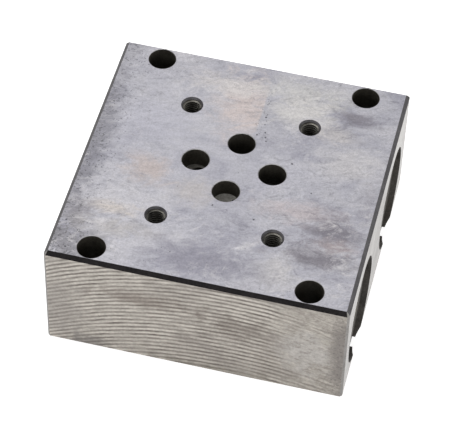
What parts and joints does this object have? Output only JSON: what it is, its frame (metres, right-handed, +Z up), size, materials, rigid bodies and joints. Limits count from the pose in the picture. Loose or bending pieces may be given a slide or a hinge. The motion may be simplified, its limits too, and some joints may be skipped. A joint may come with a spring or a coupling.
{
  "type": "hydraulic manifold block",
  "caption": "Flat square steel manifold block with a valve port and thread pattern on top, through holes in the corners and threaded side ports in spotfaces that break out at the bottom edge.",
  "frame": {"origin": "centre of the underside", "axes": "+Z up out of the valve face, +X towards the face with the threaded side ports, -Y the front face"},
  "size_m": [0.0798, 0.0798, 0.0348],
  "materials": {
    "block_steel": "milled"
  },
  "bodies": {
    "root": {"manifold_block": "block_steel"}
  },
  "joints": []
}
